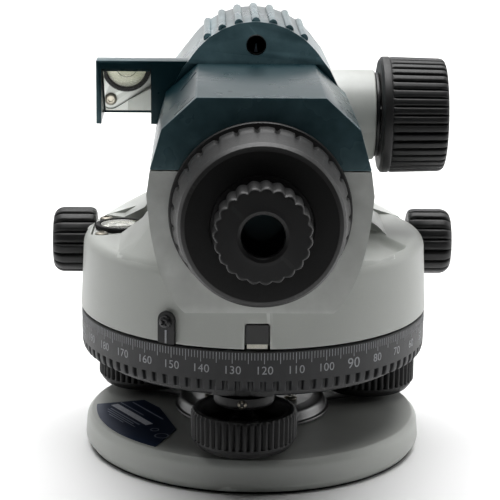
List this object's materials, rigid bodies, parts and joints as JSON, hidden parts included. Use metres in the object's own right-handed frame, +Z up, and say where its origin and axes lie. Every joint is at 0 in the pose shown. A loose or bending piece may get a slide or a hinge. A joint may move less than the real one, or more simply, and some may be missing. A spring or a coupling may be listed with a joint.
{
  "type": "automatic level",
  "caption": "Surveyor's automatic level: telescope with compensator on a rotating drum, graduated horizontal circle, slow-motion drive and three foot screws on a round base plate.",
  "frame": {"origin": "on the vertical axis, at the underside of the base plate", "axes": "+Z up along the vertical axis; +Y along the line of sight, from the eyepiece to the objective; +X to the observer's right, where the focusing knob is"},
  "size_m": [0.137, 0.215, 0.1443],
  "materials": {
    "grey_paint": "satin",
    "teal_cover": "satin",
    "black_plastic": "matte",
    "circle_black": "satin",
    "black_metal": "satin",
    "steel": "polished",
    "brass": "satin",
    "optical_glass": "polished",
    "vial_glass": "polished",
    "mirror_glass": "polished",
    "navy_label": "satin"
  },
  "bodies": {
    "foot": {"base_plate": "grey_paint", "spring_plate": "steel", "spring_plate_screw_front": "steel", "spring_plate_screw_right": "steel", "spring_plate_screw_left": "steel", "base_label": "navy_label"},
    "foot_screw_front": {"foot_screw_front": "steel", "foot_knob_front": "black_plastic"},
    "foot_screw_right": {"foot_screw_right": "steel", "foot_knob_right": "black_plastic"},
    "foot_screw_left": {"foot_screw_left": "steel", "foot_knob_left": "black_plastic"},
    "tribrach": {"tribrach": "grey_paint", "foot_screw_nut_front": "black_plastic", "foot_screw_nut_right": "black_plastic", "foot_screw_nut_left": "black_plastic", "axis_bush": "brass"},
    "circle": {"horizontal_circle": "circle_black"},
    "alidade": {"main_casting": "grey_paint", "top_cover": "teal_cover", "drum_floor": "black_metal", "axis_spindle": "steel", "spindle_washer": "steel", "focus_bush": "black_metal", "objective_cell": "black_metal", "objective_lens": "optical_glass", "compensator_frame": "black_metal", "damping_magnet": "steel", "reticle_cell": "brass", "reticle_glass": "optical_glass", "eyepiece_guard": "black_plastic", "vial_plate": "black_metal", "vial_cup": "black_plastic", "vial_glass": "vial_glass", "vial_screw_front": "steel", "vial_screw_rear": "steel", "vial_screw_inner": "steel", "mirror": "mirror_glass", "mirror_backing": "black_plastic", "index_plate": "black_plastic", "index_screw": "black_metal"},
    "drive": {"drive_shaft": "steel", "drive_knob_left": "black_plastic", "drive_knob_right": "black_plastic"},
    "clutch_wheel": {"clutch_wheel": "brass"},
    "focus": {"focus_knob": "black_plastic", "focus_shaft": "steel"},
    "focusing_carriage": {"focusing_carriage": "brass", "focusing_lens": "optical_glass"},
    "pendulum": {"compensator_pendulum": "brass", "pendulum_prism": "optical_glass"},
    "diopter_ring": {"diopter_ring": "black_plastic"},
    "ocular": {"ocular_tube": "black_metal", "eye_lens": "optical_glass"},
    "check_button": {"check_button": "black_plastic"}
  },
  "joints": [
    {"name": "foot_screw_front_turn", "type": "hinge", "parent": "foot", "child": "foot_screw_front", "pos_m": [-0.00363, -0.04415, 0.0082], "axis": [0, 0, 1], "range_deg": [-1566, 1566]},
    {"name": "foot_screw_right_turn", "type": "hinge", "parent": "foot", "child": "foot_screw_right", "pos_m": [0.04005, 0.01893, 0.0082], "axis": [0, 0, 1], "range_deg": [-1566, 1566]},
    {"name": "foot_screw_left_turn", "type": "hinge", "parent": "foot", "child": "foot_screw_left", "pos_m": [-0.03642, 0.02522, 0.0082], "axis": [0, 0, 1], "range_deg": [-1566, 1566]},
    {"name": "levelling_tilt", "type": "hinge", "parent": "foot", "child": "tribrach", "pos_m": [0.00181, 0.02208, 0.0082], "axis": [0.9966, -0.0819, 0], "range_deg": [-3, 3]},
    {"name": "circle_turn", "type": "hinge", "parent": "tribrach", "child": "circle", "pos_m": [0, 0, 0.0437], "axis": [0, 0, 1], "continuous": true},
    {"name": "alidade_turn", "type": "hinge", "parent": "tribrach", "child": "alidade", "pos_m": [0, 0, 0.068], "axis": [0, 0, 1], "continuous": true},
    {"name": "drive_turn", "type": "hinge", "parent": "alidade", "child": "drive", "pos_m": [0, 0.022, 0.0645], "axis": [1, 0, 0], "continuous": true},
    {"name": "clutch_wheel_turn", "type": "hinge", "parent": "alidade", "child": "clutch_wheel", "pos_m": [0, 0, 0.0645], "axis": [0, 0, 1], "continuous": true},
    {"name": "focus_turn", "type": "hinge", "parent": "alidade", "child": "focus", "pos_m": [0.053, 0.005, 0.1118], "axis": [1, 0, 0], "range_deg": [-180, 180]},
    {"name": "focusing_slide", "type": "slide", "parent": "alidade", "child": "focusing_carriage", "axis": [0, 1, 0], "range_m": [-0.00785, 0.00785]},
    {"name": "pendulum_swing", "type": "hinge", "parent": "alidade", "child": "pendulum", "pos_m": [0, -0.032, 0.1035], "axis": [1, 0, 0], "range_deg": [-0.8, 0.8]},
    {"name": "diopter_turn", "type": "hinge", "parent": "alidade", "child": "diopter_ring", "pos_m": [0, -0.1, 0.0963], "axis": [0, 1, 0], "range_deg": [-180, 180]},
    {"name": "ocular_slide", "type": "slide", "parent": "alidade", "child": "ocular", "axis": [0, 1, 0], "range_m": [-0.00125, 0.00125]},
    {"name": "check_button_press", "type": "slide", "parent": "alidade", "child": "check_button", "axis": [0, 1, 0], "range_m": [0, 0.002], "stiffness_N_per_m": 60}
  ],
  "couplings": [
    {"joint": "foot_screw_front_turn", "follows": "levelling_tilt", "ratio": 521.9},
    {"joint": "clutch_wheel_turn", "follows": "drive_turn", "ratio": -0.016667},
    {"joint": "focus_turn", "follows": "focusing_slide", "rad_per_m": 400},
    {"joint": "diopter_turn", "follows": "ocular_slide", "rad_per_m": 2500}
  ]
}
